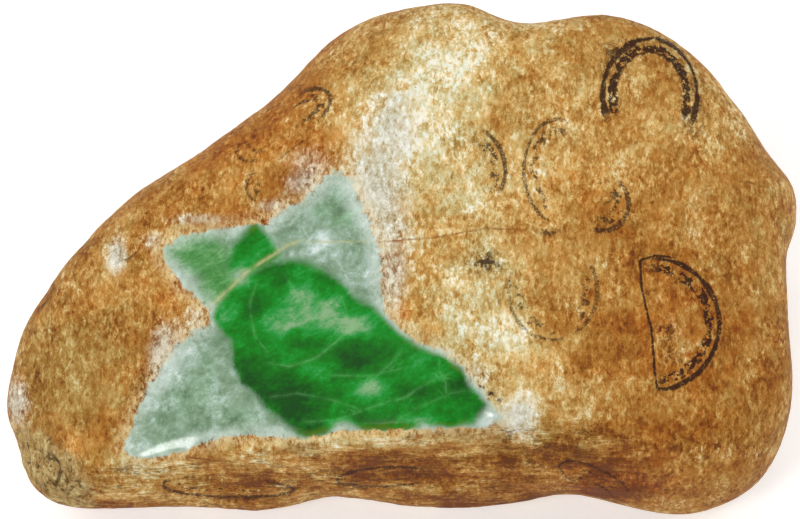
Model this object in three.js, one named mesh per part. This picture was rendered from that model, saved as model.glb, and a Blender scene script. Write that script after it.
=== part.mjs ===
// A raw jadeite boulder lying flat: one water-worn stone with a broad face on top, which slopes
// down towards its front and ends there in a ground edge over a steep front wall.
//
// The stone is one solid. It is worked out in the frame of its broad face (x to the right, y up
// the slope of the face, z out of the face), from a centre inside the stone, and is then leaned
// forward and set down on the flat worn patch of its underside.
//
// Millimetres, +Z up, the broad face leaning towards -Y. The origin is the middle of the
// bounding box at the surface that the stone lies on.
import * as THREE from "three";
import { ImprovedNoise } from "three/addons/math/ImprovedNoise.js";
import { mergeVertices } from "three/addons/utils/BufferGeometryUtils.js";

// Driving dimensions
const FACE_LEAN = 16; // degrees that the broad face slopes down to the front
const FACE_RISE = 54; // from the widest line of the stone up to its broad face
const BELLY_DROP = 88; // from the widest line down to the underside, before the flat patch cuts it
const REST_DROP = 64; // from the centre straight down to the flat patch that the stone rests on
const REST_WEAR = 0.06; // share of that drop over which the patch's rim is rounded
const FACE_SQUARENESS = 4.2; // exponent of the upper half's section: 2 is an ellipse
const BELLY_SQUARENESS = 2.7; // the same for the lower half

// The widest line of the stone, seen square to the broad face, anticlockwise from the right tip.
const OUTLINE = [
  [175, 18], [176, 38], [161, 54], [148, 74], [137, 88], [124, 100], [107, 109], [88, 113],
  [70, 112], [56, 109], [41, 112], [26, 119], [11, 121], [-5, 119], [-24, 113], [-38, 103],
  [-66, 76], [-102, 48], [-125, 34], [-151, 7], [-165, -11], [-177, -28], [-183, -48],
  [-185, -62], [-177, -80], [-171, -98], [-160, -108], [-111, -107], [-63, -112], [-39, -103],
  [0, -108], [41, -107], [74, -100], [92, -102], [116, -110], [137, -105], [156, -95],
  [168, -76], [173, -50], [172, -20], [171, -3], [171, 6],
];

// Worn flats that cut the body. turn is the heading of the flat's normal round the face, from the
// right, and rise its angle out of the face, both in degrees; reach is the flat's distance from the
// centre, and wear the share of that distance over which its edge is rounded.
const FLATS = [
  { name: "front wall", turn: -90, rise: 22, reach: 97.5, wear: 0.05 },
  { name: "front wall, right", turn: -70, rise: 40, reach: 121, wear: 0.25 },
  { name: "right lobe", turn: -64, rise: 58, reach: 104, wear: 0.2 },
  { name: "front underside", turn: -90, rise: -30, reach: 106, wear: 0.12 },
  { name: "ground window", turn: -160, rise: 80, reach: 53.5, wear: 0.05 },
  { name: "left shoulder", turn: 188, rise: 52, reach: 111, wear: 0.14 },
  { name: "upper left slope", turn: 128, rise: 48, reach: 84, wear: 0.22 },
  { name: "right flank", turn: 10, rise: 42, reach: 155, wear: 0.2 },
];

// Low swellings and hollows of the surface: where in the face's frame, how wide and how high.
const SWELLINGS = [
  { name: "lower left knob", at: [-158, -92, 14], radius: 26, height: 5 },
  { name: "left end of the wall", at: [-118, -98, 18], radius: 30, height: 3 },
  { name: "hollow of the wall", at: [38, -88, 40], radius: 34, height: -3 },
  { name: "gully by the right lobe", at: [92, -98, 26], radius: 20, height: -3 },
  { name: "right lobe", at: [122, -92, 26], radius: 42, height: 15 },
  { name: "swell of the face", at: [70, 30, 54], radius: 70, height: 4 },
];

const WAVINESS = 1.6; // height of the surface's gentle undulation
const WAVE_LENGTH = 46;

// Mesh: the icosahedron's subdivision, and how its directions are spread over the flat stone.
const SUBDIVISION = 19;
const SPREAD = new THREE.Vector3(1.6, 1.1, 0.72);
const UPWARD_SHIFT = 0.3; // sends more of the directions to the upper side, which shows
const WELD_DISTANCE = 1e-5; // on the unit icosahedron
const LEVEL_TOLERANCE = 0.01; // points this near the rest patch are put exactly on it

const FULL_TURN = 2 * Math.PI;
const OUTLINE_STEPS = 720; // directions in which the outline's distance is kept
const SAMPLES_A_STEP = 4;
const noise = new ImprovedNoise();

// Distance of the widest line from the centre, in every whole step of the turn.
function outlineRadii() {
  const corners = OUTLINE.map(([x, y]) => new THREE.Vector3(x, y, 0));
  const line = new THREE.CatmullRomCurve3(corners, true).getPoints(SAMPLES_A_STEP * OUTLINE_STEPS);
  const radii = new Float64Array(OUTLINE_STEPS);
  for (const point of line) {
    const turn = (Math.atan2(point.y, point.x) + FULL_TURN) % FULL_TURN;
    radii[Math.floor((turn / FULL_TURN) * OUTLINE_STEPS)] = Math.hypot(point.x, point.y);
  }
  // A step that no point of the line fell in takes its neighbour's distance.
  for (let i = 0; i < radii.length; i++) {
    if (!radii[i]) radii[i] = radii[(i + radii.length - 1) % radii.length];
  }
  return radii;
}

const RADII = outlineRadii();

function outlineRadius(x, y) {
  const middleOfStep = 0.5;
  const turn = (Math.atan2(y, x) + FULL_TURN) % FULL_TURN;
  const step = (turn / FULL_TURN) * RADII.length - middleOfStep;
  const low = Math.floor(step);
  const before = RADII[(low + RADII.length) % RADII.length];
  const after = RADII[(low + 1) % RADII.length];
  return THREE.MathUtils.lerp(before, after, step - low);
}

// The larger of two numbers, rounded where they are within a share of each other.
function roundedMax(a, b, share) {
  const width = share * Math.max(a, b);
  const overlap = Math.max(width - Math.abs(a - b), 0);
  return Math.max(a, b) + (overlap * overlap) / (4 * width);
}

function normalOf({ turn, rise }) {
  const heading = THREE.MathUtils.degToRad(turn);
  const height = THREE.MathUtils.degToRad(rise);
  return new THREE.Vector3(
    Math.cos(height) * Math.cos(heading),
    Math.cos(height) * Math.sin(heading),
    Math.sin(height),
  );
}

const lean = new THREE.Matrix4().makeRotationX(THREE.MathUtils.degToRad(FACE_LEAN));
const DOWN = new THREE.Vector3(0, 0, -1).applyMatrix4(lean.clone().invert());
const CUTS = FLATS.map((flat) => ({ ...flat, normal: normalOf(flat) }));

// Nearness is one over the distance to the surface. A flat's is linear in the direction, so the
// largest of several is the solid that they all bound.
function bodyNearness(direction) {
  const across = Math.hypot(direction.x, direction.y);
  const [depth, squareness] =
    direction.z > 0 ? [FACE_RISE, FACE_SQUARENESS] : [BELLY_DROP, BELLY_SQUARENESS];
  const outward = across / outlineRadius(direction.x, direction.y);
  const upward = Math.abs(direction.z) / depth;
  let nearness = (outward ** squareness + upward ** squareness) ** (1 / squareness);
  for (const { normal, reach, wear } of CUTS) {
    nearness = roundedMax(nearness, Math.max(normal.dot(direction), 0) / reach, wear);
  }
  return nearness;
}

function relief(point) {
  let raise = WAVINESS * noise.noise(...point.toArray().map((v) => v / WAVE_LENGTH));
  for (const { at, radius, height } of SWELLINGS) {
    const away = point.distanceTo(new THREE.Vector3(...at)) / radius;
    raise += height * Math.exp(-away * away);
  }
  return raise;
}

function surfacePoint(direction) {
  const point = direction.clone().divideScalar(bodyNearness(direction));
  point.addScaledVector(direction, relief(point));
  const below = Math.max(DOWN.dot(point) / REST_DROP, 0);
  return point.divideScalar(roundedMax(1, below, REST_WEAR));
}

function stoneGeometry() {
  const sphere = new THREE.IcosahedronGeometry(1, SUBDIVISION);
  sphere.deleteAttribute("normal");
  sphere.deleteAttribute("uv");
  const geometry = mergeVertices(sphere, WELD_DISTANCE);
  const places = geometry.getAttribute("position");
  const direction = new THREE.Vector3();
  for (let i = 0; i < places.count; i++) {
    direction.fromBufferAttribute(places, i);
    direction.z += UPWARD_SHIFT;
    direction.multiply(SPREAD).normalize();
    const point = surfacePoint(direction).applyMatrix4(lean);
    if (Math.abs(point.z + REST_DROP) < LEVEL_TOLERANCE) point.z = -REST_DROP;
    places.setXYZ(i, ...point.toArray());
  }
  geometry.computeBoundingBox();
  const { min, max } = geometry.boundingBox;
  geometry.translate(-(min.x + max.x) / 2, -(min.y + max.y) / 2, -min.z);
  geometry.computeVertexNormals();
  return geometry;
}

function rindMaterial() {
  return new THREE.MeshStandardMaterial({ color: 0xb5884a, roughness: 0.75, metalness: 0 });
}

const boulder = new THREE.Mesh(stoneGeometry(), rindMaterial());
boulder.name = "boulder";

const model = new THREE.Group();
model.add(boulder);

export default model;
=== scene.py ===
"""A raw jadeite boulder: a weathered brown rind with one ground and polished window of jade.

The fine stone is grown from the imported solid: its faces are subdivided smoothly, the rind gets its
relief, and the window is ground back below the rind. Where the window, the colour patches, the
cracks and the ink marks lie is kept on the mesh as distances in millimetres, and the material's
nodes turn those distances into ragged edges, veins and strokes.
"""

import math

import bpy
import numpy as np
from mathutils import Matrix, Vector, noise


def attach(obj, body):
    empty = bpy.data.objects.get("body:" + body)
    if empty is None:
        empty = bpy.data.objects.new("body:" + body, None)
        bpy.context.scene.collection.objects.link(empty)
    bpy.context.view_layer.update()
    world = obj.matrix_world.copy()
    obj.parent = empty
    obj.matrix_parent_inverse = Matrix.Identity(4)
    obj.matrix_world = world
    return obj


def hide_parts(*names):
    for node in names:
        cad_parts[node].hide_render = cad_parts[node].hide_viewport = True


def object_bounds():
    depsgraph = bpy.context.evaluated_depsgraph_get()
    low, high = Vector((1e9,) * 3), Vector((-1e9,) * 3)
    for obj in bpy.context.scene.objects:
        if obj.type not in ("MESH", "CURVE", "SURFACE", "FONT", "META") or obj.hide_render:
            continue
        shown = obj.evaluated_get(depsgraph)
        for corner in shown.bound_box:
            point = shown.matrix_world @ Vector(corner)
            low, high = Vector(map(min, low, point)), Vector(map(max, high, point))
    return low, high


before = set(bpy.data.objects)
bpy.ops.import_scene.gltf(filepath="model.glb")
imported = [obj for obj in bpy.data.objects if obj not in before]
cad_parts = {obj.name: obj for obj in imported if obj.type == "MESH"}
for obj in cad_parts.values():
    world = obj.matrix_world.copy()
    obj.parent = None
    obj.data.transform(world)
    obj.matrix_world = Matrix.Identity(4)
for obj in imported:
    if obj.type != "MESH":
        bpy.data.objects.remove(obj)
CAD_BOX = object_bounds()

MM = 0.001

# The face plan: places on the stone as seen square on from this height above its front, in
# millimetres across (to the right) and up, from the middle of the stone's outline.
PLAN_ELEVATION = math.radians(64)
PLAN_UP = Vector((0, math.sin(PLAN_ELEVATION), math.cos(PLAN_ELEVATION)))
PLAN_OUT = Vector((0, -math.cos(PLAN_ELEVATION), math.sin(PLAN_ELEVATION)))

# ---------------------------------------------------------------- what lies where on the stone

# The polished window, anticlockwise from its bottom right tip.
WINDOW = [
    (45, -71), (37, -59), (27, -48), (19, -41), (8, -37), (-1, -31), (-7, -23), (-9, -10),
    (-9, 4), (-14, 16), (-19, 27), (-23, 36), (-30, 40), (-36, 35), (-44, 27), (-54, 22),
    (-60, 16), (-67, 16), (-87, 13), (-99, 11), (-107, 5), (-107, 0), (-102, -7), (-97, -13),
    (-91, -18), (-86, -23), (-87, -29), (-94, -33), (-101, -38), (-106, -46), (-113, -56),
    (-119, -69), (-125, -85), (-121, -89), (-112, -90), (-98, -86), (-88, -82), (-81, -80), (-68, -79),
    (-44, -80), (-27, -77), (4, -76), (27, -75), (38, -76),
]

# The vivid green inside the window: the main body, and the small wedge above the pale vein.
VIVID = [
    (38, -65), (30, -56), (27, -49), (20, -44), (9, -40), (-2, -33), (-12, -22), (-22, -17),
    (-28, -10), (-35, -5), (-44, -1), (-54, -1), (-62, -3), (-71, -9), (-76, -14), (-80, -19),
    (-84, -26), (-81, -32), (-76, -37), (-75, -46), (-72, -54), (-65, -60), (-60, -67),
    (-53, -72), (-46, -78), (-41, -80), (-34, -78), (-29, -73), (-22, -73), (-16, -77),
    (2, -77), (10, -73), (22, -75), (32, -73),
]
WEDGE = [(-66, 17), (-61, 11), (-55, 2), (-61, -3), (-70, -7), (-77, -4), (-75, 6), (-70, 12)]

# Soft patches: (across, up, half width, half height, amount).
PALE = [  # how much paler than plain brown rind
    (14, 84, 28, 26, 0.38), (2, 54, 22, 22, 0.38), (-14, 30, 14, 24, 0.30),
    (-34, 74, 16, 22, 0.10), (44, 96, 20, 14, 0.14),
    (30, -22, 26, 28, 0.32), (34, 28, 32, 22, 0.24), (52, -66, 18, 10, 0.42),
    (46, -40, 16, 16, 0.28), (22, -52, 14, 10, 0.24), (70, -6, 26, 14, 0.12),
    (74, 62, 34, 30, 0.10), (112, 64, 26, 28, 0.12), (146, 74, 16, 26, 0.14),
    (26, 76, 14, 12, 0.14), (42, 106, 34, 10, 0.20), (160, 10, 18, 30, 0.16),
    (10, 36, 12, 12, 0.10), (62, -72, 22, 9, 0.14), (132, -22, 14, 18, -0.06),
    (-46, 74, 14, 10, -0.12), (-155, -62, 14, 20, 0.06), (84, -108, 24, 6, -0.20),
    (-146, -40, 15, 24, 0.06), (-124, -66, 8, 16, 0.06),
    (-128, 2, 6, 8, 0.30), (-96, -26, 9, 10, 0.14), (-100, 8, 14, 6, 0.10),
    (118, -34, 40, 34, -0.08), (166, -34, 18, 50, -0.07), (130, -78, 22, 12, -0.08),
    (-62, 62, 30, 10, -0.05), (-104, 26, 34, 10, -0.04), (-158, -78, 12, 12, -0.06),
    (-20, -82, 34, 4, 0.24), (22, -81, 28, 5, 0.20), (-66, -88, 22, 5, 0.38),
    (-104, -97, 20, 5, 0.14), (-130, -96, 10, 10, 0.12), (84, -92, 24, 7, -0.12),
    (104, -98, 12, 8, -0.12), (-2, -97, 18, 3, -0.24), (-120, -106, 40, 4, 0.08),
    (-40, -95, 14, 4, 0.16), (34, -93, 14, 4, 0.14), (60, -84, 12, 4, -0.06), (-50, -108, 40, 4, 0.10),
    (48, -99, 10, 4, -0.14), (134, -98, 14, 5, -0.04),
    (120, -106, 50, 6, -0.14), (-152, -18, 12, 12, -0.12), (28, 90, 12, 12, 0.10),
    (128, 8, 24, 20, -0.05), (98, -10, 10, 24, -0.06),
]
FROST = [  # grey-white, where the rind is worn thin over pale jade
    (-10, 34, 16, 26, 0.75), (0, 66, 14, 20, 0.45), (-108, -48, 8, 18, 0.50),
    (-174, -64, 7, 12, 0.60), (-128, 2, 5, 8, 0.85), (14, -44, 14, 5, 0.70),
    (51, -69, 13, 10, 0.72), (-92, -28, 7, 9, 0.40), (-5, -8, 8, 18, 0.55),
    (-44, 34, 12, 7, 0.60), (-58, 24, 8, 4, 0.50), (-90, 18, 16, 3, 0.45),
    (-104, -38, 9, 12, 0.30), (-112, 8, 6, 5, 0.40), (34, -52, 8, 7, 0.55),
    (10, -82, 26, 3, 0.12), (-60, -86, 20, 4, 0.15), (-124, -92, 10, 6, 0.15), (-40, 46, 12, 8, 0.35),
]
STAIN = [  # orange iron staining where positive, olive and beige where negative
    (0, -24, 5, 4, 1.4), (10, -31, 10, 3, 0.8), (-130, -16, 18, 8, 0.60),
    (-100, -14, 9, 12, 0.70), (-148, -82, 12, 7, 1.00), (22, 8, 12, 12, 0.40),
    (62, 24, 16, 22, 0.70), (118, -34, 46, 40, 0.50), (122, -82, 18, 9, 0.50),
    (-70, 52, 44, 18, 0.75), (94, 28, 10, 8, 0.50), (156, 42, 14, 10, 0.30),
    (-72, 21, 14, 4, 0.60), (56, -46, 12, 7, 0.60), (98, 52, 12, 14, 0.20),
    (-140, -48, 30, 34, -0.80), (-160, -98, 22, 12, -0.60), (-112, -96, 30, 6, -0.30),
    (10, 78, 36, 24, -0.70), (36, -50, 34, 28, -0.80), (34, 16, 44, 44, -0.60),
    (70, -84, 20, 6, -0.60), (84, 84, 26, 16, -0.20), (-40, 100, 30, 10, 0.30),
    (100, -100, 40, 8, 0.60), (20, -80, 34, 4, -0.20), (-45, -83, 30, 4, -0.70),
    (-160, -60, 20, 24, -0.70), (10, 36, 14, 12, -0.50), (-48, 74, 16, 10, 0.60),
]
CLOUD = [  # in the window: pale cloud where positive, deep green where negative
    (-45, -16, 10, 7, 0.60), (-40, -26, 12, 6, 0.50), (-54, -29, 7, 5, 0.45), (-21, -30, 8, 5, 0.80),
    (-14, -58, 8, 5, 0.60), (-39, -50, 8, 4, 0.45), (10, -72, 7, 3, 0.55),
    (-28, -74, 6, 3, 0.75), (-72, -8, 5, 5, 0.75), (8, -45, 5, 4, 0.30), (-30, -20, 6, 6, 0.30),
    (-80, -24, 6, 6, 0.30), (-60, -33, 8, 5, 0.15), (-48, -42, 12, 3, 0.12),
    (-18, -43, 13, 7, -0.55), (-53, -59, 20, 9, -0.60), (-46, -70, 10, 6, -0.45),
    (-55, -8, 6, 6, -0.35), (-67, -22, 5, 9, -0.30), (6, -59, 9, 5, -0.40),
    (26, -57, 6, 8, -0.40), (-43, -38, 7, 3, -0.45), (-15, -71, 7, 3, -0.35),
    (-39, -76, 7, 3, -0.40), (-32, -9, 6, 5, -0.25), (-70, -48, 6, 8, -0.35),
    (-67, 7, 4, 6, -0.10), (37, -68, 4, 3, -0.50),
]
LEAF = [  # light green in the pale part of the window
    (-92, 4, 17, 8, 1.10), (-83, -11, 9, 11, 1.10), (-76, -21, 6, 8, 0.80),
    (-29, 30, 9, 10, 0.35), (-23, 17, 8, 6, 0.35), (-37, 22, 7, 6, 0.30),
    (-96, -64, 13, 14, 0.35), (-72, -70, 12, 10, 0.35), (-104, -84, 12, 6, 0.35),
    (-86, -48, 8, 10, 0.25),
]

# Where the window rolls over the stone's edge: (across, up, half width, half height, drop in mm).
ROLLED = [(-99, -94, 16, 9, 2.1), (41, -74, 7, 5, 0.6)]

# The rough, crusted knob at the lower left.
KNOB = [(-180, -78), (-164, -78), (-150, -88), (-142, -100), (-138, -122), (-190, -122)]

# Hairlines: (strength, half width, points). The first are tan veins in the window that go on as
# brown lines in the rind; the cross veins are pale and stay in the window.
VEINS = [
    (1.0, 0.7, [
        (-90, -26), (-84, -19), (-76, -12), (-70, -6), (-64, -2), (-58, 2), (-50, 7), (-42, 9),
    ]),
    (0.9, 0.4, [(-46, 8), (-30, 8), (-7, 8), (16, 10), (38, 14), (56, 13)]),
]
CROSS_VEINS = [
    (0.8, 0.4, [(-62, -46), (-50, -48), (-38, -44), (-27, -35), (-14, -24)]),
    (0.8, 0.4, [(17, -43), (17, -50), (20, -55), (20, -63)]),
    (0.7, 0.4, [(-46, -73), (-30, -72), (-10, -65), (1, -62), (14, -54), (24, -50)]),
    (0.5, 0.4, [(-62, -62), (-46, -60), (-30, -63), (-16, -68)]),
    (0.7, 0.5, [(-20, -60), (-12, -53), (-4, -46), (2, -39)]),
    (0.5, 0.35, [(-38, -10), (-37, -18), (-40, -30)]),
    (0.6, 0.4, [(-93, -17), (-82, -11), (-71, -7)]),
    (0.5, 0.35, [(-36, -52), (-14, -52), (4, -48)]),
    (0.6, 0.35, [(-64, -8), (-68, -20), (-66, -34), (-58, -44)]),
    (0.5, 0.35, [(-54, -5), (-48, -13), (-44, -24)]),
    (0.5, 0.35, [(-28, -14), (-24, -24), (-27, -33)]),
    (0.7, 0.5, [(-34, 14), (-24, 20), (-15, 24)]),
    (0.4, 0.4, [(-4, -74), (8, -66), (22, -60), (32, -58)]),
]
CRACKS = [
    (0.9, 0.45, [(-165, -25), (-161, -19), (-157, -16)]),
    (0.9, 0.4, [(-128, -1), (-122, 1), (-117, 5)]),
    (0.6, 0.35, [(-131, -68), (-125, -64), (-119, -58)]),
    (0.8, 0.5, [(-154, -96), (-151, -101), (-152, -107)]),
    (0.5, 0.35, [(150, 35), (156, 35), (164, 33)]),
    (0.9, 0.7, [(-159, -84), (-155, -93), (-157, -106)]),
    (0.7, 0.4, [(-147, -86), (-143, -92), (-146, -98)]),
]

# Ink rings left by round hand stamps, with no lettering: (strength, weight, across, up,
# half width, half height, turn, first and last angle that took ink, all angles in degrees).
RINGS = [
    (1.0, 0.45, 112, 74, 22, 26, 0, -42, 214), (1.0, 0.25, 112, -29, 31, 30, 0, -92, 98),
    (0.8, 0.20, 24, 40, 23, 22, 0, -36, 62), (0.7, 0.1, 70, 40, 15, 23, 0, 62, 262),
    (0.8, 0.2, -53, 61, 25, 10, 35, -60, 60), (0.6, 0.15, -62, 33, 8, 8, 0, 110, 250),
    (0.6, 0.05, 68, -14, 20, 22, 0, 150, 290), (0.8, 0.0, -78, -103, 29, 4.5, -2, 150, 420),
    (0.7, 0.0, 87, -99, 17, 5, -24, 0, 250),
]
OTHER_RINGS = [
    (0.8, 0.3, 90, 25, 12.5, 12.5, 0, -120, 62), (0.65, 0.2, 68, -14, 20, 22, 0, -70, 42),
    (0.6, 0.15, -53, 61, 25, 10, 35, 140, 230), (0.8, 0.0, -8, -98, 21, 4.5, 4, 20, 330),
]
# The marks' straighter strokes, as hairlines.
INK_STROKES = [
    (1.0, 0.6, [
        (126, 0), (114, 2), (107, 0), (108, -14), (112, -31), (114, -58), (122, -58), (130, -54),
    ]),
    (0.6, 0.6, [(88, 23), (93, 26), (99, 29)]), (0.5, 0.5, [(34, 2), (37, -4), (43, -1)]),
    (0.6, 0.6, [(58, 15), (66, 12), (74, 13)]), (0.5, 0.6, [(40, -86), (45, -84), (52, -86)]),
    (0.6, 0.5, [(-58, 42), (-48, 51), (-40, 56)]), (0.7, 0.5, [(83, -98), (92, -103), (98, -110)]),
    (0.6, 0.5, [(-66, -95), (-60, -100), (-56, -104)]),
]
SMUDGES = [  # faint ink: (across, up, half width, half height, amount)
    (38, -1, 8, 5, 1.00), (131, 68, 6, 14, 0.80), (104, 95, 11, 4, 0.80), (96, 87, 6, 9, 0.80),
    (65, 12, 7, 2, 0.80), (119, -32, 5, 6, 0.70), (122, -44, 5, 3, 0.70), (-36, 62, 12, 8, 0.30),
    (6, -96, 9, 2.5, 0.55), (55, 100, 6, 2.5, 0.30), (64, 58, 8, 2, 0.30), (96, -23, 3, 9, 0.30),
    (36, -57, 1.6, 1.0, 1.3), (40, -60, 1.8, 1.0, 1.3), (44, -63, 1.1, 1.0, 1.2),
]

# ------------------------------------------------------------------------------ the fine stone


def solid_arrays(node):
    """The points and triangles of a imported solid, in millimetres, with shared points welded."""
    mesh = node.data
    points = np.empty(len(mesh.vertices) * 3)
    mesh.vertices.foreach_get("co", points)
    points = points.reshape(-1, 3) / MM
    mesh.calc_loop_triangles()
    triangles = np.empty(len(mesh.loop_triangles) * 3, int)
    mesh.loop_triangles.foreach_get("vertices", triangles)
    weld = 0.001
    _, first, same = np.unique(
        np.round(points / weld), axis=0, return_index=True, return_inverse=True
    )
    triangles = same.reshape(-1)[triangles].reshape(-1, 3)
    whole = (triangles[:, 0] != triangles[:, 1]) & (triangles[:, 1] != triangles[:, 2])
    whole &= triangles[:, 2] != triangles[:, 0]
    return points[first], triangles[whole]


def edges_of(triangles):
    """Each edge once, and for each triangle the numbers of its edges ab, bc and ca."""
    corners = triangles[:, [0, 1, 1, 2, 2, 0]].reshape(-1, 2)
    edges, number = np.unique(np.sort(corners, axis=1), axis=0, return_inverse=True)
    return edges, number.reshape(-1, 3)


def split_all(triangles, middles):
    a, b, c = triangles.T
    ab, bc, ca = middles.T
    parts = [(a, ab, ca), (b, bc, ab), (c, ca, bc), (ab, bc, ca)]
    return np.concatenate([np.stack(part, axis=1) for part in parts])


def loop_subdivide(points, triangles):
    """One round of Loop's smooth subdivision of a closed mesh."""
    edges, number = edges_of(triangles)
    across = triangles[:, [2, 0, 1]]  # the corner that faces each edge
    facing = np.zeros((len(edges), 3))
    np.add.at(facing, number.reshape(-1), points[across.reshape(-1)])
    middles = 3 / 8 * points[edges].sum(axis=1) + facing / 8
    valence = np.bincount(edges.reshape(-1), minlength=len(points))[:, None]
    around = np.zeros_like(points)
    np.add.at(around, edges[:, 0], points[edges[:, 1]])
    np.add.at(around, edges[:, 1], points[edges[:, 0]])
    pull = (5 / 8 - (3 / 8 + np.cos(2 * math.pi / valence) / 4) ** 2) / valence
    kept = (1 - valence * pull) * points + pull * around
    return np.concatenate([kept, middles]), split_all(triangles, number + len(points))


def split_where(points, triangles, chosen):
    """Halves every edge of the chosen triangles, and joins their neighbours up to match."""
    edges, number = edges_of(triangles)
    halved = np.zeros(len(edges), bool)
    halved[number[chosen].reshape(-1)] = True
    middle = np.full(len(edges), -1)
    middle[halved] = len(points) + np.arange(halved.sum())
    points = np.concatenate([points, points[edges[halved]].mean(axis=1)])
    middles = middle[number]
    cuts = (middles >= 0).sum(axis=1)
    result = [triangles[cuts == 0], split_all(triangles[cuts == 3], middles[cuts == 3])]
    for count in (1, 2):
        some = cuts == count
        corners, mids = triangles[some], middles[some]
        # Turned so that the odd edge out, the only cut one or the only whole one, is ab.
        odd = np.argmax((mids >= 0) == (count == 1), axis=1)
        turn = (odd[:, None] + np.arange(3)) % 3
        a, b, c = np.take_along_axis(corners, turn, axis=1).T
        ab, bc, ca = np.take_along_axis(mids, turn, axis=1).T
        parts = [(a, ab, c), (ab, b, c)] if count == 1 else [(a, b, bc), (a, bc, ca), (ca, bc, c)]
        result += [np.stack(part, axis=1) for part in parts]
    return points, np.concatenate(result)


def plan_places(points):
    """Each point's place on the face plan, in millimetres."""
    across = points[:, 0]
    up = points @ np.array(PLAN_UP)
    return np.stack([across, up - PLAN_MIDDLE], axis=1)


def normals_of(points, triangles):
    a, b, c = (points[triangles[:, i]] for i in range(3))
    facing = np.cross(b - a, c - a)
    normals = np.zeros_like(points)
    for i in range(3):
        np.add.at(normals, triangles[:, i], facing)
    return normals / np.linalg.norm(normals, axis=1)[:, None]


def smooth_step(low, high, value):
    t = np.clip((value - low) / (high - low), 0, 1)
    return t * t * (3 - 2 * t)


def inside_distance(places, corners):
    """Distance to a closed outline, positive inside it."""
    ring = np.array(corners, float)
    best = np.full(len(places), np.inf)
    inside = np.zeros(len(places), bool)
    for start, end in zip(ring, np.roll(ring, -1, axis=0)):
        along = end - start
        t = np.clip((places - start) @ along / (along @ along), 0, 1)
        best = np.minimum(best, np.linalg.norm(places - start - t[:, None] * along, axis=1))
        straddles = (start[1] > places[:, 1]) != (end[1] > places[:, 1])
        with np.errstate(divide="ignore", invalid="ignore"):
            crossing = start[0] + (places[:, 1] - start[1]) * along[0] / along[1]
        inside ^= straddles & (places[:, 0] < crossing)
    return np.where(inside, best, -best)


def patches(places, spots):
    total = np.zeros(len(places))
    for across, up, half_width, half_height, amount in spots:
        x = (places[:, 0] - across) / half_width
        y = (places[:, 1] - up) / half_height
        total += amount * np.exp(-x * x - y * y)
    return total


def line_field(places, lines):
    """Signed distance to the nearest of some hairlines, its strength there, and its half width."""
    reach = 2.8
    fade = 6.0
    best = np.full(len(places), 1e3)
    field = np.zeros((len(places), 3))
    field[:, 0] = 1e3
    for strength, half_width, corners in lines:
        run = np.array(corners, float)
        steps = np.linalg.norm(np.diff(run, axis=0), axis=1)
        start_length = 0.0
        for start, end, length in zip(run, run[1:], steps):
            along = (end - start) / length
            t = (places - start) @ along
            near = places - start - np.clip(t, 0, length)[:, None] * along
            distance = np.linalg.norm(near, axis=1)
            side = np.sign(along[0] * near[:, 1] - along[1] * near[:, 0])
            travelled = start_length + np.clip(t, 0, length)
            ends = np.minimum(travelled, steps.sum() - travelled) / fade
            closer = distance < best
            best = np.where(closer, distance, best)
            shown = strength * np.clip(ends, 0, 1) * (distance < reach)
            found = np.stack([side * distance, shown, np.full(len(best), half_width)], axis=1)
            field = np.where(closer[:, None], found, field)
            start_length += length
    return field


def ring_field(places, rings):
    """Distance in from the nearest ink ring, and the ink's strength and weight there."""
    reach = 9.0
    fade = 16.0  # degrees over which the ink gives out at the ends of an arc
    best = np.full(len(places), 1e3)
    field = np.zeros((len(places), 3))
    field[:, 0] = -1e3
    for strength, weight, across, up, half_width, half_height, turn, first, last in rings:
        angle = math.radians(turn)
        away = places - (across, up)
        x = (math.cos(angle) * away[:, 0] + math.sin(angle) * away[:, 1]) / half_width
        y = (math.cos(angle) * away[:, 1] - math.sin(angle) * away[:, 0]) / half_height
        spread = np.hypot(x, y)
        slope = np.hypot(x / half_width, y / half_height) / np.maximum(spread, 1e-6)
        inward = (1 - spread) / np.maximum(slope, 1e-6)
        bearing = (np.degrees(np.arctan2(y, x)) - first) % 360
        ends = np.minimum(bearing, last - first - bearing) / fade
        shown = strength * np.clip(ends, 0, 1) * (np.abs(inward) < reach)
        closer = (np.abs(inward) < best) & (shown > 0)
        best = np.where(closer, np.abs(inward), best)
        found = np.stack([inward, shown, np.full(len(best), weight)], axis=1)
        field = np.where(closer[:, None], found, field)
    return field


def fractal(points, size, detail, stretch=(1, 1, 1)):
    """Fractal noise of the given feature size in millimetres, about -1 to 1, at each point."""
    scaled = points / (size * np.array(stretch))
    return np.array([noise.fractal(Vector(p), 1.0, 2.0, detail) for p in scaled])


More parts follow.
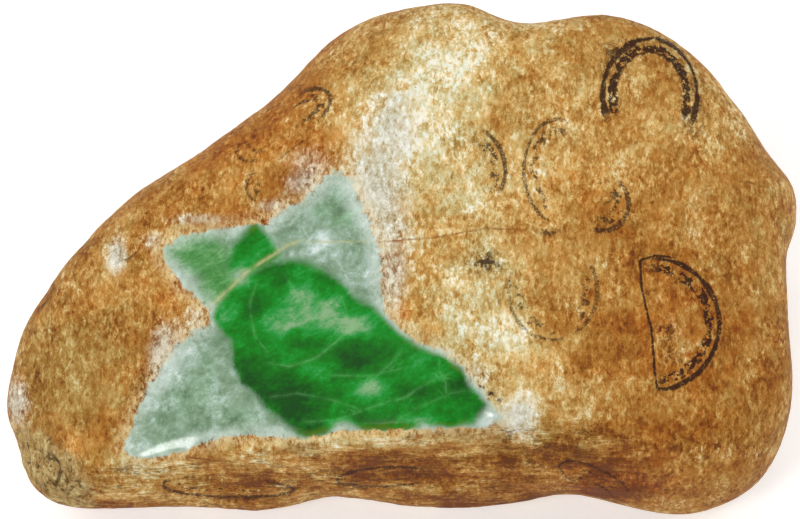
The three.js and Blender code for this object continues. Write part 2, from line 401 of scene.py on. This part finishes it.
def read_fields(points, triangles):
    """Everything that is laid out on the face plan, at each point of the stone."""
    places = plan_places(points)
    normals = normals_of(points, triangles)
    seen = smooth_step(0.0, 0.25, normals @ np.array(PLAN_OUT))
    # The steep front wall, faded out near the floor and on the rounder right lobe; the rind takes its
    # streaks and a painted shade from it.
    front = smooth_step(0.50, 0.80, -normals[:, 1]) * smooth_step(4, 24, points[:, 2])
    front *= 1 - smooth_step(94, 122, points[:, 0])
    vivid = np.maximum(inside_distance(places, VIVID), inside_distance(places, WEDGE))
    outside = -60.0
    fields = {
        "window": np.where(seen > 0.5, inside_distance(places, WINDOW), outside),
        "vivid": np.where(seen > 0.5, vivid, outside),
        "pale": patches(places, PALE) * seen,
        "frost": patches(places, FROST) * seen,
        "stain": patches(places, STAIN) * seen,
        "cloud": patches(places, CLOUD),
        "leaf": patches(places, LEAF),
        "smudge": patches(places, SMUDGES) * seen,
        "front": front,
        "knob": seen * smooth_step(-10, 8, inside_distance(places, KNOB)),
        "veins": line_field(places, VEINS) * np.stack([np.ones_like(seen), seen, seen], axis=1),
        "cross_veins": line_field(places, CROSS_VEINS),
        "cracks": line_field(places, CRACKS),
        "rings": ring_field(places, RINGS),
        "other_rings": ring_field(places, OTHER_RINGS),
        "ink_strokes": line_field(places, INK_STROKES),
        "rolled": patches(places, ROLLED),
    }
    for name in ("cross_veins", "cracks", "rings", "other_rings", "ink_strokes"):
        fields[name][:, 1] *= seen
    return fields


def relief(points, fields):
    """How far each point is raised or sunk, in millimetres."""
    ground_depth = 0.25  # of the window, below the rind
    crack_depth = 0.5
    crack_width = 0.8
    ground_clear = smooth_step(0.0, 7.0, points[:, 2])
    rind = 1 - smooth_step(-2.5, 0.5, fields["window"])
    waves = 0.55 * fractal(points, 34, 2) + 0.28 * fractal(points, 9, 3)
    grain = 0.16 * fractal(points, 3.2, 2)
    ridges = fractal(points, 9, 3, stretch=(5, 1, 0.8)) * fields["front"]
    lumps = (1.9 * fractal(points, 9, 4) - 0.7) * fields["knob"]
    away, strength, _ = fields["cracks"].T
    cracks = crack_depth * strength * np.exp(-((away / crack_width) ** 2))
    skin = waves + grain + 0.5 * ridges + lumps - cracks
    ground = -ground_depth + 0.1 * fractal(points, 30, 1)
    raised = rind * skin + (1 - rind) * ground - fields["rolled"]
    return raised * ground_clear


def make_stone(node):
    smooth_rounds = 2
    rim_reach = 2.2  # millimetres to either side of the step
    crack_reach = 1.5
    points, triangles = solid_arrays(node)
    for _ in range(smooth_rounds):
        points, triangles = loop_subdivide(points, triangles)
    # Finer faces where the rind steps down to the window, and along the cracks.
    fields = read_fields(points, triangles)
    near_step = np.abs(fields["window"] + 0.5) < rim_reach
    away, strength, _ = fields["cracks"].T
    wanted = near_step | ((np.abs(away) < crack_reach) & (strength > 0))
    points, triangles = split_where(points, triangles, wanted[triangles].any(axis=1))
    fields = read_fields(points, triangles)
    normals = normals_of(points, triangles)
    points = points + normals * relief(points, fields)[:, None]
    mesh = bpy.data.meshes.new("jade_boulder")
    mesh.from_pydata((points * MM).tolist(), [], triangles.tolist())
    for name, values in fields.items():
        if values.ndim == 1:
            layer = mesh.attributes.new(name, "FLOAT", "POINT")
            layer.data.foreach_set("value", values.astype(np.float32))
        else:
            layer = mesh.attributes.new(name, "FLOAT_VECTOR", "POINT")
            layer.data.foreach_set("vector", values.astype(np.float32).reshape(-1))
    mesh.shade_smooth()
    stone = bpy.data.objects.new("jade_boulder", mesh)
    bpy.context.scene.collection.objects.link(stone)
    return stone


# --------------------------------------------------------------------------------- materials


def linear(red, green, blue):
    """A colour of 0 to 255 as Blender's linear light."""
    def one(value):
        value /= 255
        return value / 12.92 if value <= 0.04045 else ((value + 0.055) / 1.055) ** 2.4
    return (one(red), one(green), one(blue), 1.0)


class Nodes:
    """Short ways to add and join the nodes of one material."""

    def __init__(self, name):
        self.material = bpy.data.materials.new(name)
        self.material.use_nodes = True
        self.tree = self.material.node_tree
        self.shader = self.tree.nodes["Principled BSDF"]
        place = self.tree.nodes.new("ShaderNodeTexCoord").outputs["Object"]
        self.place = self.vector("SCALE", place, scale=1 / MM)  # millimetres

    def feed(self, socket, value):
        if isinstance(value, bpy.types.NodeSocket):
            self.tree.links.new(value, socket)
        else:
            socket.default_value = value

    def field(self, name):
        node = self.tree.nodes.new("ShaderNodeAttribute")
        node.attribute_name = name
        return node.outputs["Fac"]

    def fields(self, name):
        node = self.tree.nodes.new("ShaderNodeAttribute")
        node.attribute_name = name
        split = self.tree.nodes.new("ShaderNodeSeparateXYZ")
        self.tree.links.new(node.outputs["Vector"], split.inputs[0])
        return split.outputs

    def math(self, operation, *values, clamp=False):
        node = self.tree.nodes.new("ShaderNodeMath")
        node.operation = operation
        node.use_clamp = clamp
        for socket, value in zip(node.inputs, values):
            self.feed(socket, value)
        return node.outputs[0]

    def vector(self, operation, *values, scale=None):
        node = self.tree.nodes.new("ShaderNodeVectorMath")
        node.operation = operation
        for socket, value in zip(node.inputs, values):
            self.feed(socket, value)
        if scale is not None:
            self.feed(node.inputs["Scale"], scale)
        return node.outputs["Vector"]

    def add(self, *values):
        total = values[0]
        for value in values[1:]:
            total = self.math("ADD", total, value)
        return total

    def times(self, *values):
        total = values[0]
        for value in values[1:]:
            total = self.math("MULTIPLY", total, value)
        return total

    def step(self, value, low, high):
        """0 below low, 1 above high, smooth between; falling where low is the larger."""
        node = self.tree.nodes.new("ShaderNodeMapRange")
        node.interpolation_type = "SMOOTHSTEP"
        self.feed(node.inputs["Value"], value)
        self.feed(node.inputs["From Min"], low)
        self.feed(node.inputs["From Max"], high)
        return node.outputs["Result"]

    def noise_node(self, place, size, detail, roughness, distortion):
        node = self.tree.nodes.new("ShaderNodeTexNoise")
        self.feed(node.inputs["Vector"], place)
        self.feed(node.inputs["Scale"], 1 / size)
        self.feed(node.inputs["Detail"], detail)
        self.feed(node.inputs["Roughness"], roughness)
        self.feed(node.inputs["Distortion"], distortion)
        return node

    def noise(self, place, size, detail=2.0, roughness=0.5, distortion=0.0):
        """Noise about 0, from -0.5 to 0.5, with features of the given size in millimetres."""
        node = self.noise_node(place, size, detail, roughness, distortion)
        return self.math("SUBTRACT", node.outputs["Fac"], 0.5)

    def warped(self, place, size, amount, detail=2.0):
        """The place, pushed about by noise."""
        node = self.noise_node(place, size, detail, 0.5, 0.0)
        push = self.vector("SUBTRACT", node.outputs["Color"], (0.5, 0.5, 0.5))
        return self.vector("ADD", place, self.vector("SCALE", push, scale=amount))

    def cells(self, place, size):
        """A steady random value for each crystal-like cell, from -0.5 to 0.5."""
        node = self.tree.nodes.new("ShaderNodeTexVoronoi")
        self.feed(node.inputs["Vector"], place)
        self.feed(node.inputs["Scale"], 1 / size)
        split = self.tree.nodes.new("ShaderNodeSeparateXYZ")
        self.tree.links.new(node.outputs["Color"], split.inputs[0])
        return self.math("SUBTRACT", split.outputs[0], 0.5)

    def turned(self, place, degrees):
        """The place, turned about the line of sight square on to the face plan."""
        node = self.tree.nodes.new("ShaderNodeVectorRotate")
        self.feed(node.inputs["Vector"], place)
        node.inputs["Axis"].default_value = PLAN_OUT
        node.inputs["Angle"].default_value = -math.radians(degrees)
        return node.outputs["Vector"]

    def stretched(self, place, *factors):
        return self.vector("MULTIPLY", place, factors)

    def ramp(self, value, stops):
        node = self.tree.nodes.new("ShaderNodeValToRGB")
        self.feed(node.inputs["Fac"], value)
        elements = node.color_ramp.elements
        elements[0].position, elements[0].color = stops[0][0], linear(*stops[0][1])
        elements[1].position, elements[1].color = stops[-1][0], linear(*stops[-1][1])
        for position, colour in stops[1:-1]:
            elements.new(position).color = linear(*colour)
        return node.outputs["Color"]

    def blend(self, share, first, second, kind="MIX"):
        node = self.tree.nodes.new("ShaderNodeMix")
        node.data_type = "RGBA"
        node.blend_type = kind
        self.feed(node.inputs["Factor"], share)
        for name, value in (("A", first), ("B", second)):
            sockets = [s for s in node.inputs if s.name == name and s.type == "RGBA"]
            self.feed(sockets[0], value)
        return [s for s in node.outputs if s.type == "RGBA"][0]


RIND_COLOURS = [
    (0.00, (108, 54, 8)), (0.14, (136, 78, 16)), (0.26, (154, 98, 30)), (0.37, (168, 116, 47)),
    (0.46, (181, 133, 64)), (0.56, (195, 152, 84)), (0.66, (209, 173, 107)),
    (0.74, (219, 190, 131)), (0.83, (229, 207, 158)), (0.90, (238, 222, 184)),
    (1.00, (248, 238, 214)),
]
PLAIN_RIND = 0.38  # place of plain brown rind on that scale


def rind_layer(n):
    """Colour, height and grain of the weathered rind, with painted shade darkening the steep front
    wall.
    """
    upright = n.stretched(n.place, 1.0, 0.6, 0.6)
    broad = n.noise(n.warped(n.place, 16, 6), 24, detail=3, roughness=0.6)
    middle = n.noise(n.warped(upright, 9, 5), 8, detail=4, roughness=0.8)
    fine = n.noise(upright, 1.7, detail=3, roughness=0.95)
    crystals = n.cells(n.warped(upright, 3, 2), 1.6)
    lengthwise = n.stretched(n.warped(n.place, 26, 10), 0.2, 1.0, 1.0)
    streaks = n.noise(lengthwise, 7, detail=6, roughness=0.95)
    front = n.field("front")
    facing = n.math("SUBTRACT", 1.0, front)
    light = n.step(n.noise(n.warped(upright, 5, 3), 2.6, detail=3, roughness=0.75), 0.02, 0.13)
    dark = n.step(n.noise(n.warped(upright, 8, 4), 3.4, detail=4, roughness=0.8), -0.02, -0.16)
    flecks = n.math("SUBTRACT", n.times(light, 0.13), n.times(dark, 0.13))
    patchy = n.add(1.0, n.times(n.noise(n.place, 18, detail=3, roughness=0.6), 2.2))
    grain = n.add(n.times(fine, 0.95), n.times(crystals, 0.22), flecks)
    grain = n.add(n.times(middle, 0.8), n.times(grain, patchy))
    grain_share = n.add(0.8, n.times(facing, 0.2))
    texture = n.add(n.times(broad, n.add(0.75, n.times(front, 0.5))), n.times(grain, grain_share))
    texture = n.add(texture, n.times(streaks, front, 2.3))
    # The tone is lowered on the front wall: painted shade, so the steep wall falls darker than the
    # face.
    tone = n.add(PLAIN_RIND, n.field("pale"), texture, n.times(front, -0.12))
    colour = n.ramp(tone, RIND_COLOURS)
    staining = n.times(n.noise(n.warped(n.place, 9, 5), 10, detail=4, roughness=0.75), 4.2)
    rusty = n.times(n.step(n.add(n.field("stain"), staining), 0.0, 1.1), 0.7)
    olive = n.step(n.add(n.field("stain"), staining), 0.2, -1.1)
    colour = n.blend(rusty, colour, n.blend(1.0, colour, linear(255, 214, 140), "MULTIPLY"))
    colour = n.blend(olive, colour, n.blend(1.0, colour, linear(232, 246, 255), "MULTIPLY"))
    frosty = n.add(n.field("frost"), n.times(grain, 0.55), n.times(broad, 0.8))
    frosty = n.times(n.step(frosty, 0.12, 0.8), 0.9)
    frost_colour = n.ramp(n.add(0.5, n.times(grain, 1.6)), [
        (0.0, (146, 138, 108)), (0.5, (198, 195, 178)), (1.0, (238, 237, 228)),
    ])
    colour = n.blend(frosty, colour, frost_colour)
    specks = n.step(n.noise(n.place, 1.8, detail=2, roughness=0.8), 0.17, 0.24)
    colour = n.blend(n.times(specks, 0.5), colour, linear(96, 54, 16))
    fissures = n.math("ABSOLUTE", n.noise(lengthwise, 10, detail=4, roughness=0.6))
    fissures = n.times(n.step(fissures, 0.016, 0.003), n.step(broad, -0.05, 0.1))
    fissures = n.times(fissures, n.step(front, 0.6, 1.0))
    colour = n.blend(n.times(fissures, 0.6), colour, linear(60, 34, 14))
    height = n.add(n.times(grain, 0.5), n.times(streaks, front, 0.9), n.times(fissures, -0.3))
    return colour, height, grain


def crust_layer(n, rind):
    """The yellow-brown crust with dark pits on the knob."""
    lumps = n.noise(n.warped(n.place, 6, 4), 5, detail=5, roughness=0.85)
    crust = n.ramp(n.add(0.55, n.times(lumps, 2.6)), [
        (0.0, (70, 44, 14)), (0.3, (132, 96, 44)), (0.55, (172, 140, 84)),
        (0.8, (198, 172, 112)), (1.0, (222, 204, 152)),
    ])
    pits = n.step(n.noise(n.warped(n.place, 5, 4), 4.2, detail=4, roughness=0.75), 0.05, 0.15)
    crust = n.blend(n.times(pits, 0.75), crust, linear(66, 46, 20))
    share = n.step(n.add(n.field("knob"), n.times(lumps, 1.6)), 0.3, 0.8)
    return n.blend(share, rind, crust), n.times(share, n.add(lumps, n.times(pits, -0.5)), 2.2)


def jade_layer(n):
    """Colour of the polished jade."""
    slanted = n.turned(n.place, 28)
    drift = n.warped(slanted, 16, 9)
    mottle = n.noise(drift, 10, detail=5, roughness=0.65)
    fine = n.noise(n.warped(n.place, 4, 3), 2.2, detail=4, roughness=0.8)
    veil = n.noise(n.stretched(drift, 0.5, 1.0, 1.0), 6, detail=5, roughness=0.75)
    patchy = n.step(n.noise(n.place, 12, detail=2), -0.12, 0.16)
    webs = n.math("ABSOLUTE", n.noise(n.warped(n.place, 9, 6), 12, detail=5, roughness=0.6))
    webs = n.times(n.step(webs, 0.022, 0.0), patchy)
    light = n.add(
        0.5, n.times(mottle, 2.2), n.times(veil, 0.5), n.times(fine, patchy, 1.2), n.times(webs, 0.14)
    )
    light = n.add(light, n.times(n.field("frost"), 0.32))
    pale = n.ramp(light, [
        (0.0, (80, 106, 76)), (0.28, (108, 136, 106)), (0.5, (132, 157, 132)),
        (0.7, (160, 181, 166)), (0.86, (190, 206, 198)), (1.0, (222, 230, 226)),
    ])
    leaf = n.step(n.add(n.field("leaf"), n.times(mottle, 1.4)), 0.1, 0.9)
    pale = n.blend(n.times(leaf, 0.92), pale, n.ramp(n.add(0.5, n.times(veil, 2.2)), [
        (0.0, (22, 104, 28)), (0.4, (62, 132, 56)), (0.7, (102, 156, 94)), (1.0, (148, 184, 142)),
    ]))
    cloud = n.add(0.42, n.times(n.field("cloud"), 0.78), n.times(veil, 1.2), n.times(fine, 0.5))
    cloud = n.add(cloud, n.times(webs, 0.12))
    vivid = n.ramp(cloud, [
        (0.0, (0, 66, 0)), (0.16, (0, 90, 0)), (0.34, (0, 110, 2)), (0.5, (2, 130, 22)),
        (0.64, (30, 142, 54)), (0.8, (84, 152, 88)), (1.0, (132, 168, 122)),
    ])
    edge = n.add(n.field("vivid"), n.times(mottle, 8.0), n.times(fine, 5.0))
    jade = n.blend(n.step(edge, -3.2, 1.8), pale, vivid)
    # Iron has crept in from the rind along the window's rim.
    crept = n.step(n.add(n.field("window"), n.times(mottle, 12.0), n.times(fine, 6.0)), 4.0, 0.5)
    crept = n.times(crept, n.step(n.field("vivid"), -1.0, 2.0))
    return n.blend(n.times(crept, 0.5), jade, linear(96, 108, 20))


def hairline(n, name, wander, inner=0.35, outer=1.5):
    """How much of a hairline shows at each spot, in multiples of its half width."""
    distance, strength, half_width = n.fields(name)
    bent = n.math("ABSOLUTE", n.add(distance, n.times(wander, 1.4)))
    shown = n.step(n.math("DIVIDE", bent, half_width), outer, inner)
    return n.times(shown, strength)


def vein_layer(n, jade, rind):
    wander = n.noise(n.place, 8, detail=5, roughness=0.65)
    broken = n.step(n.noise(n.place, 5, detail=3, roughness=0.7), -0.3, 0.15)
    main = hairline(n, "veins", wander)
    haze = hairline(n, "veins", wander, outer=3.5)
    cross = hairline(n, "cross_veins", wander)
    cross_haze = hairline(n, "cross_veins", wander, outer=5.0)
    veins = n.times(n.add(n.times(cross, 0.22), n.times(cross_haze, 0.14)), broken)
    jade = n.blend(veins, jade, linear(120, 196, 120))
    veins = n.times(n.add(n.times(main, 0.4), n.times(haze, 0.28)), broken)
    jade = n.blend(veins, jade, linear(186, 184, 128))
    rind = n.blend(n.times(main, broken, 0.8), rind, linear(128, 72, 24))
    return jade, rind


def ink_layer(n, colour, grain):
    """Faded stamp ink: rings with a band of plain smudges inside, caught on the rind's grain."""
    stipple = n.noise(n.place, 1.1, detail=2, roughness=0.9)
    blots = n.noise(n.warped(n.place, 3, 2), 3.6, detail=3, roughness=0.7)
    wobble = n.noise(n.place, 10, detail=3)
    ink = 0.0
    for name in ("rings", "other_rings"):
        inward, strength, weight = n.fields(name)
        inward = n.add(inward, n.times(wobble, 2.4), n.times(stipple, 1.2))
        thick = n.times(weight, n.add(1.5, n.times(wobble, 9.0)))
        away = n.math("ABSOLUTE", n.math("SUBTRACT", inward, thick))
        line = n.step(away, n.add(thick, 1.3), n.add(thick, 0.2))
        inner = n.add(inward, n.times(blots, 5.0))
        band = n.times(n.step(inner, 2.8, 3.6), n.step(inner, 8.4, 6.6))
        smears = n.times(band, n.step(n.add(blots, n.times(weight, 0.34)), 0.03, 0.11))
        shown = n.times(n.math("MAXIMUM", line, smears), strength)
        ink = n.math("MAXIMUM", ink, shown)
    smudge = n.times(n.field("smudge"), n.step(blots, -0.2, 0.04))
    strokes = hairline(n, "ink_strokes", wobble, outer=1.8)
    ink = n.math("MAXIMUM", n.math("MAXIMUM", ink, smudge), strokes)
    caught = n.add(ink, n.times(stipple, 2.4), n.times(grain, -0.6), n.times(blots, 1.0))
    ragged = n.times(n.step(caught, 0.1, 0.9), n.step(ink, 0.02, 0.3))
    ragged = n.times(ragged, n.add(0.4, n.times(ink, 0.55)))
    return n.blend(ragged, colour, linear(44, 18, 6))


def rim_layer(n, jade, rind, grain, ragged):
    """The rind bleached to cream round the window, and the pale jade hazed white inside it."""
    near_rim = n.times(n.step(n.field("window"), -8.0, 0.5), n.step(grain, -0.25, 0.2), 0.55)
    rind = n.blend(near_rim, rind, linear(218, 204, 158))
    haze = n.add(n.field("window"), n.times(ragged, 14.0), n.times(n.field("frost"), -6.0))
    haze = n.times(n.step(haze, 8.0, 0.0), n.step(n.field("vivid"), 1.0, -3.0))
    haze = n.times(haze, n.step(grain, -0.5, 0.2), 0.58)
    return n.blend(haze, jade, linear(202, 211, 200)), rind


def window_share(n, grain, ragged):
    """1 on the window and 0 on the rind: a ragged edge, softer where the rind is frosted."""
    frost = n.field("frost")
    spread = n.add(6.5, n.times(frost, 12.0))
    edge = n.add(n.field("window"), n.times(ragged, spread), n.times(grain, 2.0))
    blur = n.times(frost, 2.0)
    return n.step(edge, n.math("SUBTRACT", -0.5, blur), n.add(0.7, blur))


def polish_layer(n, in_window):
    """How polished each spot is, and the height of the polish's scratches and dents."""
    rolled = n.field("rolled")
    polished = n.step(n.add(n.field("window"), n.times(rolled, 6.0)), 2.5, 5.0)
    scratches = n.times(n.noise(n.place, 1.2, detail=2), 0.006)
    dents = n.times(n.noise(n.place, 9, detail=2), n.step(rolled, 0.0, 0.6))
    return n.times(in_window, polished, 0.7), n.times(in_window, n.add(scratches, dents))


def stone_material():
    n = Nodes("raw_jade")
    rind, rind_height, grain = rind_layer(n)
    rind, crust_height = crust_layer(n, rind)
    ragged = n.noise(n.warped(n.place, 5, 4), 4.5, detail=6, roughness=0.85)
    in_window = window_share(n, grain, ragged)
    jade, rind = vein_layer(n, jade_layer(n), rind)
    jade, rind = rim_layer(n, jade, rind, grain, ragged)
    rind = ink_layer(n, rind, grain)
    crack = hairline(n, "cracks", n.noise(n.place, 4, detail=3))
    rind = n.blend(n.times(crack, 0.85), rind, linear(40, 26, 14))
    polish, polish_height = polish_layer(n, in_window)
    skin = n.times(n.add(rind_height, crust_height), 0.6)
    skin = n.times(skin, n.math("SUBTRACT", 1.0, in_window))

    shader = n.shader
    n.feed(shader.inputs["Base Color"], n.blend(in_window, rind, jade))
    n.feed(shader.inputs["Roughness"], n.add(0.72, n.times(grain, 0.2)))
    shader.inputs["Specular IOR Level"].default_value = 0.18
    n.feed(shader.inputs["Coat Weight"], polish)
    shader.inputs["Coat Roughness"].default_value = 0.1
    bump = n.tree.nodes.new("ShaderNodeBump")
    bump.inputs["Strength"].default_value = 1.0
    bump.inputs["Distance"].default_value = MM
    n.feed(bump.inputs["Height"], n.add(skin, polish_height))
    n.feed(shader.inputs["Normal"], bump.outputs["Normal"])
    return n.material


# ------------------------------------------------------------------------- floor, light, camera


def floor_material():
    """White, and glowing a little, as a lit studio sweep does."""
    material = bpy.data.materials.new("floor_white")
    material.use_nodes = True
    shader = material.node_tree.nodes["Principled BSDF"]
    shader.inputs["Base Color"].default_value = (0.86, 0.86, 0.86, 1)
    shader.inputs["Roughness"].default_value = 0.9
    shader.inputs["Emission Color"].default_value = (1, 1, 1, 1)
    shader.inputs["Emission Strength"].default_value = 0.36
    return material


def make_floor():
    half = 6.0  # metres
    mesh = bpy.data.meshes.new("floor")
    corners = [(-half, -half, 0), (half, -half, 0), (half, half, 0), (-half, half, 0)]
    mesh.from_pydata(corners, [], [(0, 1, 2, 3)])
    mesh.materials.append(floor_material())
    floor = bpy.data.objects.new("floor", mesh)
    bpy.context.scene.collection.objects.link(floor)


def direction(azimuth, elevation):
    """Towards a place round the stone: azimuth 0 is the front, 90 the right."""
    turn, rise = math.radians(azimuth), math.radians(elevation)
    return Vector((math.sin(turn) * math.cos(rise), -math.cos(turn) * math.cos(rise), math.sin(rise)))


def softbox(name, azimuth, elevation, distance, width, height, radiance):
    """A rectangular area light that faces the stone, placed in degrees and metres."""
    light = bpy.data.lights.new(name, "AREA")
    light.shape = "RECTANGLE"
    light.size, light.size_y = width, height
    light.energy = radiance * math.pi * width * height
    lamp = bpy.data.objects.new(name, light)
    aim = direction(azimuth, elevation)
    lamp.location = STONE_MIDDLE + aim * distance
    lamp.rotation_euler = aim.to_track_quat("Z", "Y").to_euler()
    bpy.context.scene.collection.objects.link(lamp)


def make_lights():
    softbox("left_softbox", -105, 36, 1.8, 1.2, 1.2, 3.3)
    softbox("right_softbox", 105, 40, 1.8, 1.2, 1.2, 3.25)
    softbox("back_softbox", 175, 60, 2.2, 1.4, 1.0, 2.2)
    softbox("front_softbox", -31, 50, 1.2, 0.26, 0.34, 17.0)
    softbox("small_softbox", 9, 35, 1.2, 0.18, 0.18, 18.0)
    surroundings = 0.15
    world = bpy.data.worlds.new("studio")
    world.use_nodes = True
    background = world.node_tree.nodes["Background"]
    background.inputs["Color"].default_value = (1, 1, 1, 1)
    background.inputs["Strength"].default_value = surroundings
    bpy.context.scene.world = world


def make_camera():
    distance = 4.0
    sensor = 36.0  # mm
    view_width = 0.3646  # metres across the picture at the stone
    middle_shift = Vector((-0.0005, 0, 0))  # metres
    data = bpy.data.cameras.new("camera")
    data.sensor_width = sensor
    data.lens = sensor * distance / view_width
    camera = bpy.data.objects.new("camera", data)
    aim_point = PLAN_UP * PLAN_MIDDLE * MM + PLAN_OUT * PLAN_DEPTH * MM + middle_shift
    camera.location = aim_point + PLAN_OUT * distance
    camera.rotation_euler = PLAN_OUT.to_track_quat("Z", "Y").to_euler()
    bpy.context.scene.collection.objects.link(camera)
    bpy.context.scene.camera = camera


# ------------------------------------------------------------------------------------- scene

cad_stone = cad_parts["boulder"]
cad_points = solid_arrays(cad_stone)[0]
plan_up = cad_points @ np.array(PLAN_UP)
plan_out = cad_points @ np.array(PLAN_OUT)
# The stone's middle along the face plan's up and outward directions, in millimetres.
PLAN_MIDDLE = (plan_up.min() + plan_up.max()) / 2
PLAN_DEPTH = (plan_out.min() + plan_out.max()) / 2
STONE_MIDDLE = (Vector(CAD_BOX[0]) + Vector(CAD_BOX[1])) / 2

stone = make_stone(cad_stone)
stone.data.materials.append(stone_material())
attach(stone, "root")
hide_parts("boulder")
make_floor()
make_lights()
make_camera()
bpy.context.scene.view_settings.view_transform = "Standard"
